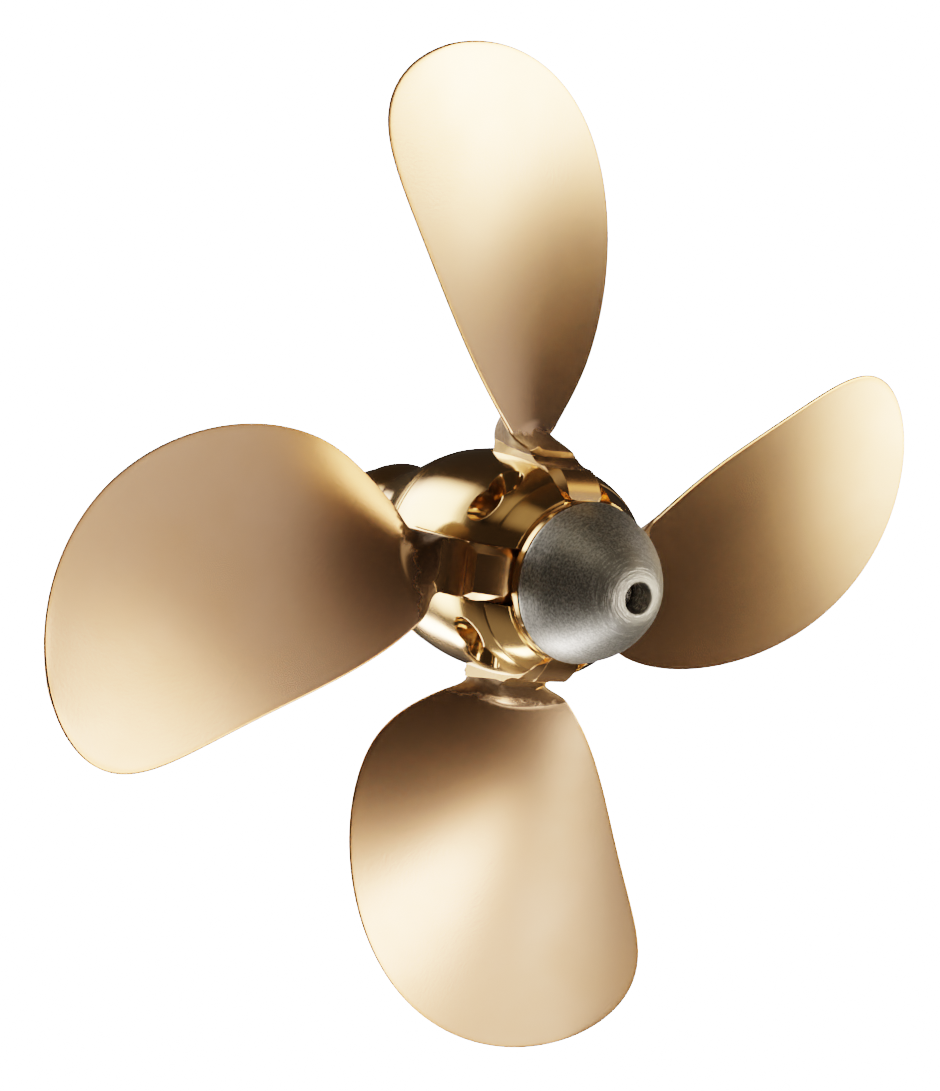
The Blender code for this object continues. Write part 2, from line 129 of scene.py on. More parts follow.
def carve(name, mesh, *cutters, unions=()):
    """A new mesh: the blank with the unions added, and then the cutters taken away."""
    blank = link_object(name, mesh)
    tools = []
    for number, other in enumerate((*unions, *cutters)):
        tool = link_object(f"{name}_tool_{number}", other)
        modifier = blank.modifiers.new(f"step_{number}", "BOOLEAN")
        modifier.operation = "UNION" if number < len(unions) else "DIFFERENCE"
        modifier.object = tool
        modifier.solver = "EXACT"
        modifier.material_mode = "TRANSFER"
        tools.append(tool)
    bpy.context.view_layer.update()
    graph = bpy.context.evaluated_depsgraph_get()
    carved = bpy.data.meshes.new_from_object(blank.evaluated_get(graph))
    for item in (blank, *tools):
        bpy.data.objects.remove(item)
    carved.name = name
    return carved


print("sharp edges turn by", round(SHARP_ANGLE, 2), "radians or more")

# %% [markdown]
# Most of a propeller is turned on a lathe, so the first helper is a lathe. A profile is a
# list of places along the axis with a radius. A few driving points make a smooth profile
# when a Catmull-Rom curve runs through them, and `spin` carries it round the axis. With
# `use_merge`, the last step of the spin closes onto the first.

# %% A lathe
def smooth_curve(points, steps):
    """A Catmull-Rom curve through (place, radius) points."""
    ends = [points[0], *points, points[-1]]
    curve = []
    for before, start, end, after in zip(ends, ends[1:], ends[2:], ends[3:]):
        for step in range(steps):
            t = step / steps
            curve.append(tuple(
                0.5 * (2 * b + (c - a) * t + (2 * a - 5 * b + 4 * c - d) * t**2
                       + (3 * b - a - 3 * c + d) * t**3)
                for a, b, c, d in zip(before, start, end, after)
            ))
    curve.append(points[-1])
    return curve


def turned(profile, steps, along=(0, 1, 0), closed=False):
    """A bmesh turned from (place, radius) pairs about the Y or the X axis."""
    form = bmesh.new()
    axis = Vector(along)
    verts = [form.verts.new(axis * place + Vector((0, 0, radius))) for place, radius in profile]
    pairs = list(zip(verts, verts[1:]))
    if closed:
        pairs.append((verts[-1], verts[0]))
    edges = [form.edges.new(pair) for pair in pairs]
    bmesh.ops.spin(
        form, geom=verts + edges, cent=(0, 0, 0), axis=axis, dvec=(0, 0, 0), angle=tau,
        steps=steps, use_merge=True, use_normal_flip=False, use_duplicate=False,
    )
    return form


print("a curve of", len(smooth_curve([(0, 1), (1, 2), (2, 1)], 8)), "points through 3")

# %% [markdown]
# Cutters with flat sides are drawn as an outline and pulled out to a prism, and round ones
# are plain bars. The pins and their bores lie across the propeller's axis, so they share the
# matrix from `crosswise`.

# %% Prisms and bars
def pull_out(form, corners, way):
    """Adds a face through the corners to a bmesh and pulls it out to a solid."""
    face = form.faces.new([form.verts.new(corner) for corner in corners])
    drawn = bmesh.ops.extrude_face_region(form, geom=[face])
    moved = [part for part in drawn["geom"] if isinstance(part, bmesh.types.BMVert)]
    bmesh.ops.translate(form, vec=way, verts=moved)


def prism(outline, half_width):
    """A bmesh of a (y, z) outline pulled out along X to both sides."""
    form = bmesh.new()
    pull_out(form, [(-half_width, y, z) for y, z in outline], (2 * half_width, 0, 0))
    return form


def crosswise(place, turn=0.0):
    """A matrix that lays a bar along X at a place, and turns it about the Y axis."""
    lay = Matrix.Rotation(pi / 2, 4, "Y")
    return Matrix.Rotation(turn, 4, "Y") @ Matrix.Translation(place) @ lay


def bar(radius, length, segments, matrix):
    """A bmesh of a round bar, turned and placed by a matrix."""
    form = bmesh.new()
    bmesh.ops.create_cone(
        form, cap_ends=True, segments=segments, radius1=radius, radius2=radius,
        depth=length, matrix=matrix,
    )
    return form


def join_forms(*forms):
    """One bmesh that holds several, for a cutter of separate parts."""
    whole = forms[0]
    for form in forms[1:]:
        spare = bpy.data.meshes.new("spare")
        form.to_mesh(spare)
        form.free()
        whole.from_mesh(spare)
        bpy.data.meshes.remove(spare)
    return whole


print("a prism has", len(prism([(0, 0), (1, 0), (0, 1)], 1).faces), "faces")

# %% [markdown]
# ## Helpers for materials
#
# A metal's look is mostly in what it reflects, so its colour is plain and its detail is in
# the roughness and in tiny bumps. `add_node` puts a node into a tree and either links each
# input or sets it.

# %% Node helpers
def feed(socket, value):
    if isinstance(value, bpy.types.NodeSocket):
        socket.id_data.links.new(value, socket)
    else:
        socket.default_value = value


def add_node(tree, kind, inputs=(), **settings):
    """A shader node. Inputs is a dict of socket names or numbers."""
    item = tree.nodes.new("ShaderNode" + kind)
    for name, value in settings.items():
        setattr(item, name, value)
    for name, value in dict(inputs).items():
        feed(item.inputs[name], value)
    return item


def maths(tree, operation, *values):
    inputs = dict(enumerate(values))
    return add_node(tree, "Math", inputs, operation=operation).outputs[0]


def blend_colours(tree, share, low, high):
    """A colour between two, by a share from 0 to 1."""
    return add_node(tree, "Mix", {0: share, 6: low, 7: high}, data_type="RGBA").outputs[2]


def rescale(tree, value, low, high, to_low=0.0, to_high=1.0, smooth=False):
    inputs = {0: value, 1: low, 2: high, 3: to_low, 4: to_high}
    kind = "SMOOTHSTEP" if smooth else "LINEAR"
    return add_node(tree, "MapRange", inputs, interpolation_type=kind).outputs[0]


def start_group(name, inputs, outputs):
    """A node group. Returns its tree, its inputs' values and the sockets of its outputs."""
    tree = bpy.data.node_groups.new(name, "ShaderNodeTree")
    for direction, labels in (("INPUT", inputs), ("OUTPUT", outputs)):
        for label in labels:
            tree.interface.new_socket(label, in_out=direction, socket_type="NodeSocketFloat")
    start, end = tree.nodes.new("NodeGroupInput"), tree.nodes.new("NodeGroupOutput")
    return tree, start.outputs, end.inputs


def feed_all(item, **inputs):
    for name, value in inputs.items():
        feed(item.inputs[name.replace("_", " ")], value)


def use_group(tree, group, **inputs):
    item = tree.nodes.new("ShaderNodeGroup")
    item.node_tree = group
    feed_all(item, **inputs)
    return item.outputs


print("kinds of shader node:", sum(kind.startswith("ShaderNode") for kind in dir(bpy.types)))

# %% [markdown]
# Turning on a lathe leaves fine rings: a mark that hardly changes on its way round the axis
# and changes quickly along it. In the group below, the noise reads the distance along the
# axis, the radius, and only a little of the angle, so its grains come out as long thin
# arcs. The propeller's axis is Y in every piece, because each mesh lies where it belongs.

# %% Lathe marks
MARK_ROUGHNESS = 0.6


def axis_distance(tree):
    """The distance from the Y axis at each point."""
    place = add_node(tree, "TexCoord").outputs["Object"]
    across = add_node(tree, "VectorMath", {0: place, 1: (1, 0, 1)}, operation="MULTIPLY")
    inputs = {0: across.outputs[0]}
    return add_node(tree, "VectorMath", inputs, operation="LENGTH").outputs["Value"]


tree, (marks, breaks, detail, *_), results = start_group(
    "lathe marks", ("Marks per metre", "Breaks round the axis", "Detail"), ("Value",),
)
place = add_node(tree, "TexCoord").outputs["Object"]
x, y, z = add_node(tree, "SeparateXYZ", {0: place}).outputs
radius = axis_distance(tree)
spot = add_node(tree, "CombineXYZ", {
    0: maths(tree, "MULTIPLY", maths(tree, "DIVIDE", x, radius), breaks),
    1: maths(tree, "MULTIPLY", maths(tree, "ADD", y, radius), marks),
    2: maths(tree, "MULTIPLY", maths(tree, "DIVIDE", z, radius), breaks),
}).outputs[0]
feed(results[0], add_node(tree, "TexNoise", {
    "Vector": spot, "Scale": 1.0, "Detail": detail, "Roughness": MARK_ROUGHNESS,
}).outputs[0])
lathe_marks = tree
print("group:", lathe_marks.name)

# %% [markdown]
# Handling and polishing also leave a soft unevenness that has no direction. The second
# group gives two such clouds: large faint ones, and a fine grain.

# %% Clouds and grain
CLOUD_DETAIL = 3.0
GRAIN_DETAIL = 4.0
CLOUD_ROUGHNESS = 0.55

clouds, scales, results = start_group(
    "clouds and grain", ("Cloud scale", "Grain scale"), ("Clouds", "Grain"),
)
place = add_node(clouds, "TexCoord").outputs["Object"]
for scale, detail, result in zip(scales, (CLOUD_DETAIL, GRAIN_DETAIL), results):
    feed(result, add_node(clouds, "TexNoise", {
        "Vector": place, "Scale": scale, "Detail": detail, "Roughness": CLOUD_ROUGHNESS,
    }).outputs[0])
print("group:", clouds.name)

# %% [markdown]
# Every material here is a bare metal. `metal` starts one, `spread` stretches a noise, which
# keeps to the middle of its range, `bump` turns one into tiny hills, and `soft_edges` rounds
# the edges for the light alone, as polishing does.

# %% Helpers for metals
NOISE_LOW = 0.3
NOISE_HIGH = 0.7
EDGE_ROUNDING = 0.0005


def metal(name):
    material = bpy.data.materials.new(name)
    material.use_nodes = True
    shader = material.node_tree.nodes["Principled BSDF"]
    feed(shader.inputs["Metallic"], 1.0)
    return material, material.node_tree, shader


def spread(tree, noise, to_low=0.0, to_high=1.0, smooth=False):
    return rescale(tree, noise, NOISE_LOW, NOISE_HIGH, to_low, to_high, smooth)


def soft_edges(tree):
    return add_node(tree, "Bevel", {"Radius": EDGE_ROUNDING}, samples=6).outputs[0]


def bump(tree, height, strength, depth, **normal):
    inputs = {"Strength": strength, "Distance": depth, "Height": height, **normal}
    return add_node(tree, "Bump", inputs).outputs[0]


print("noise from", NOISE_LOW, "to", NOISE_HIGH, "is spread over the whole range")

# %% [markdown]
# ## Polished bronze
#
# The hub is turned and buffed until it mirrors the room. Its colour is that of nickel
# aluminium bronze. Only the finest lathe rings are left, and a faint haze that buffing
# leaves in clouds. Metal that is seen in other metal gets a paler colour, because it stays
# golden in the photograph, where plain bounces would turn it red.

# %% Polished bronze
BRONZE = (0.80, 0.425, 0.150, 1)
BRONZE_HAZE = (0.72, 0.375, 0.130, 1)
BRONZE_MIRRORED = (0.86, 0.66, 0.40, 1)
HAZE_RANGE = (0.35, 0.70)
HUB_ROUGHNESS = (0.10, 0.16)


def paler_in_mirrors(tree, colour):
    mirrored = add_node(tree, "LightPath").outputs["Is Glossy Ray"]
    return blend_colours(tree, mirrored, colour, BRONZE_MIRRORED)


polished_bronze, tree, shader = metal("hub_bronze")
marks = use_group(
    tree, lathe_marks, Marks_per_metre=1400.0, Breaks_round_the_axis=1.5, Detail=3.0,
)[0]
haze = use_group(tree, clouds, Cloud_scale=30.0, Grain_scale=900.0)[0]
colour = blend_colours(tree, rescale(tree, haze, *HAZE_RANGE), BRONZE, BRONZE_HAZE)
feed_all(
    shader, Base_Color=paler_in_mirrors(tree, colour),
    Roughness=spread(tree, haze, *HUB_ROUGHNESS),
    Normal=bump(tree, marks, 0.10, 0.0002, Normal=soft_edges(tree)),
)
print("material:", polished_bronze.name)

# %% [markdown]
# ## Satin bronze
#
# The blades are ground and then satin finished: the same metal, with highlights spread wide
# and soft. The finish is a little duller in places, and it has very fine brush marks. The
# The roots near the hub are left as cast, dark and grainy. Two numbers on the mesh steer this:
# `cast` is 1 where the skin is as cast, and `rim` is 1 along the blade's edge, which the
# grinder has rounded; the colour there is made darker and redder.

# %% Satin bronze
SATIN = (0.80, 0.44, 0.235, 1)
SATIN_DARK = (0.70, 0.37, 0.18, 1)
CAST_SKIN = (0.13, 0.072, 0.034, 1)
RIM = (0.62, 0.25, 0.07, 1)
RIM_SHARE = 0.75
STAIN_RANGE = (0.35, 0.68)
PATCH_REACH = 0.25
PATCH_EDGE = (0.35, 0.65)
SATIN_ROUGHNESS = (0.21, 0.25)
CAST_ROUGHNESS = 0.5

satin_bronze, tree, shader = metal("blade_bronze")
cast = add_node(tree, "Attribute", attribute_name="cast").outputs["Fac"]
rim = add_node(tree, "Attribute", attribute_name="rim").outputs["Fac"]
cover, brush = use_group(tree, clouds, Cloud_scale=14.0, Grain_scale=700.0)
patches, grain = use_group(tree, clouds, Cloud_scale=160.0, Grain_scale=450.0)
satin = blend_colours(tree, rescale(tree, cover, *STAIN_RANGE), SATIN, SATIN_DARK)
# A band along the blade's outline is made darker and redder.
darker_at_outline = blend_colours(tree, maths(tree, "MULTIPLY", rim, RIM_SHARE), satin, RIM)
torn = maths(tree, "ADD", cast, spread(tree, patches, -PATCH_REACH, PATCH_REACH))
patchy = rescale(tree, torn, *PATCH_EDGE, smooth=True)
gloss = spread(tree, cover, *SATIN_ROUGHNESS)
rough = bump(tree, maths(tree, "MULTIPLY", grain, patchy), 0.7, 0.0006)
feed_all(
    shader,
    Base_Color=paler_in_mirrors(tree, blend_colours(tree, patchy, darker_at_outline, CAST_SKIN)),
    Roughness=add_node(tree, "Mix", {0: patchy, 2: gloss, 3: CAST_ROUGHNESS}).outputs[0],
    Normal=bump(tree, brush, 0.06, 0.0003, Normal=rough),
)
print("material:", satin_bronze.name)

# %% [markdown]
# The flat and round faces of the lugs are milled, so they stay bright and need no cast skin.

# %% Machined bronze
LUG_ROUGHNESS = (0.18, 0.25)

machined_bronze, tree, shader = metal("lug_bronze")
cover, grain = use_group(tree, clouds, Cloud_scale=60.0, Grain_scale=1200.0)
feed_all(
    shader,
    Base_Color=paler_in_mirrors(tree, blend_colours(tree, cover, BRONZE, SATIN_DARK)),
    Roughness=spread(tree, cover, *LUG_ROUGHNESS),
    Normal=bump(tree, grain, 0.08, 0.0002, Normal=soft_edges(tree)),
)
print("material:", machined_bronze.name)

# %% [markdown]
# ## Turned zinc
#
# The anode is soft grey zinc. A coarse feed on the lathe has torn it into short bright and
# dark dashes that run round the axis. Near the nose they join up into rings: a second,
# longer kind of lathe mark, which grows stronger towards the axis.

# %% Turned zinc
ZINC_LIGHT = (0.60, 0.565, 0.515, 1)
ZINC_DARK = (0.32, 0.30, 0.265, 1)
ZINC_ROUGHNESS = (0.40, 0.50)
RINGS_FULL = 0.011
RINGS_NONE = 0.026
RING_LEVEL = 0.62
RINGS_FAINT = 0.1
RINGS_STRONG = 2.2

turned_zinc, tree, shader = metal("anode_zinc")
dashes = use_group(
    tree, lathe_marks, Marks_per_metre=800.0, Breaks_round_the_axis=24.0, Detail=2.0,
)[0]
rings = use_group(
    tree, lathe_marks, Marks_per_metre=900.0, Breaks_round_the_axis=2.5, Detail=1.0,
)[0]
strength = (RINGS_FAINT, RINGS_STRONG)
near_nose = rescale(
    tree, axis_distance(tree), RINGS_NONE, RINGS_FULL, *strength, smooth=True,
)
ridges = maths(tree, "SUBTRACT", rings, RING_LEVEL)
marks = maths(tree, "ADD", dashes, maths(tree, "MULTIPLY", ridges, near_nose))
feed_all(
    shader,
    Base_Color=blend_colours(tree, spread(tree, marks, smooth=True), ZINC_DARK, ZINC_LIGHT),
    Roughness=rescale(tree, near_nose, *strength, *ZINC_ROUGHNESS),
    Normal=bump(tree, marks, 0.4, 0.0004, Normal=soft_edges(tree)),
)
print("material:", turned_zinc.name)

# %% [markdown]
# The pins and the anode's screw are ground stainless steel.

# %% Stainless steel
STEEL = (0.56, 0.55, 0.53, 1)
STEEL_DULL = (0.42, 0.41, 0.39, 1)
STEEL_ROUGHNESS = (0.20, 0.34)

stainless_steel, tree, shader = metal("pin_steel")
cover, grain = use_group(tree, clouds, Cloud_scale=90.0, Grain_scale=1500.0)
feed_all(
    shader, Base_Color=blend_colours(tree, cover, STEEL, STEEL_DULL),
    Roughness=spread(tree, grain, *STEEL_ROUGHNESS),
)
print("material:", stainless_steel.name)

# %% [markdown]
# ## The hub
#
# The hub is one bronze casting, turned all over. From the shaft side it swells to a collar,
# draws in to a neck, widens to the round middle that holds the pins, and ends in a bevelled
# land. Three fine grooves run round it on the shaft side of the pins. Stations are distances
# from the shaft-side face, so a place along Y is a station with its sign changed.

# %% Hub sizes
FIT_GAP = 0.0003
HUB_LENGTH = 0.1835
HUB_RADIUS = 0.0535
HUB_CURVE = (
    (0.0000, 0.0245), (0.0010, 0.0253), (0.0140, 0.0292), (0.0280, 0.0331),
    (0.0450, 0.0318), (0.0600, 0.0366), (0.0700, 0.0412), (0.0800, 0.0455),
    (0.0900, 0.0489), (0.0980, 0.0506), (0.1080, 0.0523), (0.1180, 0.0532),
    (0.1300, 0.0535), (0.1420, 0.0534), (0.1500, 0.0529), (0.1570, 0.0521),
    (0.1630, 0.0510), (0.1690, 0.0491), (0.1725, 0.0474),
)
HUB_CURVE_STEPS = 8
GROOVE_STATIONS = (0.0915, 0.0940, 0.0965)
GROOVE_HALF_WIDTH = 0.00035
GROOVE_DEPTH = 0.00022
LAND_EDGE = ((0.1731, 0.0470), (0.1733, 0.0466), (0.1738, 0.04655))
LAND_INNER_RADIUS = 0.0400
HUB_STEPS = 192
TAPER_MOUTH_RADIUS = 0.0175
TAPER_LENGTH = 0.090
TAPER_END_RADIUS = 0.0130
NUT_CHAMBER_RADIUS = 0.0200
MOUTH_CHAMFER = 0.0010


def with_grooves(profile):
    """The profile with a small V cut at each groove."""
    cut = []
    for (start, low), (end, high) in zip(profile, profile[1:]):
        cut.append((start, low))
        for groove in GROOVE_STATIONS:
            if start < groove <= end:
                radius = low + (high - low) * (groove - start) / (end - start)
                cut += [
                    (groove - GROOVE_HALF_WIDTH, radius), (groove, radius - GROOVE_DEPTH),
                    (groove + GROOVE_HALF_WIDTH, radius),
                ]
    cut.append(profile[-1])
    return sorted(cut)


hub_outline = [
    *with_grooves(smooth_curve(HUB_CURVE, HUB_CURVE_STEPS)), *LAND_EDGE,
    (HUB_LENGTH, LAND_INNER_RADIUS), (HUB_LENGTH, NUT_CHAMBER_RADIUS + MOUTH_CHAMFER),
    (HUB_LENGTH - MOUTH_CHAMFER, NUT_CHAMBER_RADIUS), (TAPER_LENGTH, NUT_CHAMBER_RADIUS),
    (TAPER_LENGTH, TAPER_END_RADIUS), (MOUTH_CHAMFER, TAPER_MOUTH_RADIUS),
    (0.0, TAPER_MOUTH_RADIUS + MOUTH_CHAMFER),
]
hub_form = turned([(-station, r) for station, r in hub_outline], HUB_STEPS, closed=True)
hub_blank = mesh_from(hub_form, "hub", polished_bronze)
print("hub blank:", len(hub_blank.polygons), "faces")

# %% [markdown]
# Two slots cross the hub and leave four arms between the lugs. The cutter for a slot is a
# prism, and the mill's own radius rounds the end towards the bow. Its outline is drawn for
# one half and mirrored: past the hub, down the front, over a short ramp and to the floor.

# %% Slots
PIN_STATION = 0.159
PIN_HEIGHT = 0.0305
LUG_HALF_WIDTH = 0.0132
LUG_RADIUS = 0.0235
SLOT_CLEARANCE = 0.0012
SLOT_FRONT = -0.1165
SLOT_RAMP = ((SLOT_FRONT, 0.050), (SLOT_FRONT - 0.003, 0.044))
SLOT_FLOOR_HEIGHT = 0.022
SLOT_CORNER_RADIUS = 0.0045
SLOT_CORNER_STEPS = 6
SLOT_OVERRUN = 0.010


def slot_cutter(turn):
    """A cutter through the hub. Its edges towards the bow get the mill's radius."""
    top = HUB_RADIUS + 2 * SLOT_OVERRUN
    floor = -(PIN_STATION - LUG_RADIUS - SLOT_CLEARANCE)
    end = -HUB_LENGTH - SLOT_OVERRUN
    side = [(end, top), (SLOT_FRONT, top), *SLOT_RAMP, (floor, SLOT_FLOOR_HEIGHT)]
    below = [(y, -z) for y, z in reversed(side[1:])]
    form = prism([(end, -top), *side, *below], LUG_HALF_WIDTH + FIT_GAP)
    ends = [
        edge for edge in form.edges
        if all(vert.co.y > floor - MERGE_DISTANCE for vert in edge.verts)
        and abs(edge.verts[0].co.x - edge.verts[1].co.x) < MERGE_DISTANCE
    ]
    bmesh.ops.bevel(
        form, geom=ends, offset=SLOT_CORNER_RADIUS, offset_type="OFFSET",
        segments=SLOT_CORNER_STEPS, profile=0.5, affect="EDGES", material=-1,
        clamp_overlap=True,
    )
    bmesh.ops.rotate(
        form, verts=form.verts, cent=(0, 0, 0), matrix=Matrix.Rotation(turn, 3, "Y"),
    )
    return mesh_from(form, "slot", polished_bronze)


print("slot width:", round(2 * (LUG_HALF_WIDTH + FIT_GAP), 4))

# %% [markdown]
# The four pins sit in bores across the arms, on both sides of the shaft's axis. A keyway
# runs along the taper, so that the shaft can't slip in it.

# %% Bores and keyway
PIN_BORE_RADIUS = 0.00775
BORE_SEGMENTS = 72
KEYWAY_WIDTH = 0.010
KEYWAY_DEPTH = 0.004
KEYWAY_OVERRUN = 0.001


def pin_bores(turn):
    bars = [
        bar(
            PIN_BORE_RADIUS, 3 * HUB_RADIUS, BORE_SEGMENTS,
            crosswise((0, -PIN_STATION, side * PIN_HEIGHT), turn),
        )
        for side in (-1, 1)
    ]
    return mesh_from(join_forms(*bars), "pin_bores", polished_bronze)


keyway_end = -TAPER_LENGTH - KEYWAY_OVERRUN
keyway_top = TAPER_MOUTH_RADIUS + KEYWAY_DEPTH
keyway = mesh_from(prism([
    (keyway_end, 0.0), (KEYWAY_OVERRUN, 0.0), (KEYWAY_OVERRUN, keyway_top),
    (keyway_end, keyway_top),
], KEYWAY_WIDTH / 2), "keyway", polished_bronze)
hub_mesh = carve(
    "hub_body", hub_blank, slot_cutter(0), slot_cutter(pi / 2), pin_bores(0),
    pin_bores(pi / 2), keyway,
)
smooth_shading(hub_mesh)
hub_piece = link_object("hub_body", hub_mesh)
print("hub:", len(hub_mesh.polygons), "faces")

# %% [markdown]
# ## Seat, anode and screw
#
# A bronze disc closes the hub's end and carries the anode. The seat, the anode and the
# screw are plain turned shapes, so they share one function.

# %% Seat
SEAT_STATION = 0.190
SEAT_RADIUS = 0.0384
SEAT_CHAMFER = 0.0007
SCREW_HOLE_RADIUS = 0.0043
TURNED_STEPS = 160


def turned_mesh(name, outline, material):
    """A turned mesh from (station, radius) pairs. It is closed if it starts off the axis."""
    profile = [(-station, radius) for station, radius in outline]
    form = turned(profile, TURNED_STEPS, closed=profile[0][1] > 0)
    mesh = mesh_from(form, name, material)
    smooth_shading(mesh)
    return mesh


near = HUB_LENGTH + FIT_GAP
far = SEAT_STATION - FIT_GAP
seat_mesh = turned_mesh("anode_seat_disc", [
    (near, SCREW_HOLE_RADIUS), (near, SEAT_RADIUS - SEAT_CHAMFER),
    (near + SEAT_CHAMFER, SEAT_RADIUS), (far - SEAT_CHAMFER, SEAT_RADIUS),
    (far, SEAT_RADIUS - SEAT_CHAMFER), (far, SCREW_HOLE_RADIUS),
], polished_bronze)
seat_piece = link_object("anode_seat_disc", seat_mesh)
print("seat:", len(seat_mesh.polygons), "faces")

# %% [markdown]
# The anode is a cone of zinc with a round nose. Sea water eats the zinc and spares the
# bronze, so the anode is changed every season. A deep hole in its nose leads to its screw.

# %% Anode
ANODE_LENGTH = 0.0412
ANODE_CURVE = (
    (0.0000, 0.0376), (0.0005, 0.0382), (0.0060, 0.0366), (0.0120, 0.0344),
    (0.0180, 0.0310), (0.0240, 0.0269), (0.0300, 0.0222), (0.0350, 0.0178),
    (0.0383, 0.0145), (0.0398, 0.0122), (0.0407, 0.0100), (0.0412, 0.0081),
)
ANODE_CURVE_STEPS = 6
NOSE_LIP = 0.0004
NOSE_HOLE_RADIUS = 0.0074
NOSE_HOLE_DEPTH = 0.014
SCREW_HEAD_HEIGHT = 0.008

nose = SEAT_STATION + ANODE_LENGTH
screw_top = nose - NOSE_HOLE_DEPTH
step = screw_top - SCREW_HEAD_HEIGHT
anode_mesh = turned_mesh("anode_cone", [
    *((SEAT_STATION + s, radius) for s, radius in smooth_curve(ANODE_CURVE, ANODE_CURVE_STEPS)),
    (nose - NOSE_LIP, NOSE_HOLE_RADIUS), (step, NOSE_HOLE_RADIUS),
    (step, SCREW_HOLE_RADIUS), (SEAT_STATION, SCREW_HOLE_RADIUS),
], turned_zinc)
anode_piece = link_object("anode_cone", anode_mesh)
print("anode:", len(anode_mesh.polygons), "faces")

# %% [markdown]
# The screw's head lies at the bottom of that hole. A six-sided bar cuts the socket for the
# key, and its radius is measured to its corners.

# %% Screw
SCREW_HEAD_RADIUS = 0.0066
SCREW_CHAMFER = 0.0005
SCREW_SHANK_RADIUS = 0.0040
SCREW_TAIL = 0.004
SOCKET_WIDTH = 0.0060
SOCKET_DEPTH = 0.0045

under = step + FIT_GAP
tail = HUB_LENGTH - SCREW_TAIL
screw_blank = turned_mesh("screw", [
    (screw_top, 0.0), (screw_top, SCREW_HEAD_RADIUS - SCREW_CHAMFER),
    (screw_top - SCREW_CHAMFER, SCREW_HEAD_RADIUS), (under, SCREW_HEAD_RADIUS),
    (under, SCREW_SHANK_RADIUS), (tail, SCREW_SHANK_RADIUS), (tail, 0.0),
], stainless_steel)
socket = mesh_from(bar(
    SOCKET_WIDTH / sqrt(3), 2 * SOCKET_DEPTH, 6,
    Matrix.Translation((0, -screw_top, 0)) @ Matrix.Rotation(pi / 2, 4, "X"),
), "socket", stainless_steel)
screw_mesh = carve("anode_screw_steel", screw_blank, socket)
smooth_shading(screw_mesh)
screw_piece = link_object("anode_screw_steel", screw_mesh)
print("screw:", len(screw_mesh.polygons), "faces")

# %% [markdown]
# ## Pins
#
# Each blade turns on a steel pin. The pin is as long as the lug and both walls of the slot
# need, so its ends lie sunk in the bores. One mesh is made for the upright blade, and three
# copies are turned round the shaft's axis.

# %% Pins
PIN_LENGTH = 0.044
PIN_CHAMFER = 0.0008
BLADE_COUNT = 4


def quarter_turns(name, mesh):
    """Four copies of a mesh, each turned a quarter further round the shaft's axis."""
    copies = []
    for number in range(BLADE_COUNT):
        copy = mesh.copy()
        copy.transform(Matrix.Rotation(tau * number / BLADE_COUNT, 4, "Y"))
        copies.append(link_object(f"{name}_{number + 1}", copy))
    return copies


radius = PIN_BORE_RADIUS - FIT_GAP
half = PIN_LENGTH / 2
pin_form = turned([
    (-half, 0.0), (-half, radius - PIN_CHAMFER), (PIN_CHAMFER - half, radius),
    (half - PIN_CHAMFER, radius), (half, radius - PIN_CHAMFER), (half, 0.0),
], BORE_SEGMENTS, along=(1, 0, 0))
bmesh.ops.translate(pin_form, vec=(0, -PIN_STATION, PIN_HEIGHT), verts=pin_form.verts)
pin_mesh = mesh_from(pin_form, "pin", stainless_steel)
smooth_shading(pin_mesh)
pins = quarter_turns("pin_steel", pin_mesh)
print("pins:", len(pins))

# %% [markdown]
# ## The blade
#
# A blade is a twisted, slightly domed plate. Designers draw it as a row of sections at
# growing radii, each wrapped round a cylinder, and give the chord, skew, rake and pitch as
# smooth functions of the way from root to tip. The mesh starts as a flat grid from
# `create_grid`, and every point of it is moved to its place on the sections: one side of
# the grid runs round the section and the other runs out along the blade.

# %% Blade sections
TIP_RADIUS = 0.250
ROOT_RADIUS = 0.055
HALF_CHORD_SHAPE = (0.0218, 0.1933, -0.2432, 0.1806)
SKEW_SHAPE = (0.0002, 0.0152, -0.0627, -0.0225)
RAKE_SHAPE = (0.0537, 0.0475, -0.0253)
PITCH_SHAPE = (0.310, 0.049, -0.108)
ROOT_THICKNESS = 0.0135
TIP_THICKNESS = 0.0026
EDGE_THICKNESS = 0.0014
THICKNESS_POWER = 1.5
BACK_SHARE = 0.8
TRIM_DEPTH = 0.135
TRIM_END = 0.30
TRIM_DROP = 0.24


def polynomial(shape, share):
    return sum(factor * share**power for power, factor in enumerate(shape))


def trim(share):
    """How much is ground off the leading edge near the root."""
    return TRIM_DEPTH * max(TRIM_END - share, 0) ** 2


def half_chord(share):
    full = sqrt(max(1 - share**2, 0)) * polynomial(HALF_CHORD_SHAPE, share)
    return full - trim(share) / 2


def middle(share):
    return polynomial(SKEW_SHAPE, share) - trim(share) / 2


def edge_distance(share, along):
    """How far a place on the blade lies from its outline, in metres."""
    chord = polynomial(HALF_CHORD_SHAPE, share)
    reach = TIP_RADIUS - ROOT_RADIUS
    inside = max((1 - share**2) * (1 - along**2), 0)
    across = along * sqrt(max(1 - share**2, 0)) / chord
    slope = 2 * sqrt(across**2 + (share / reach) ** 2)
    return inside / max(slope, 1)


def blade_thickness(share, along):
    crown = TIP_THICKNESS + (ROOT_THICKNESS - TIP_THICKNESS) * (1 - share) ** THICKNESS_POWER
    return EDGE_THICKNESS + (crown - EDGE_THICKNESS) * (1 - along**2)


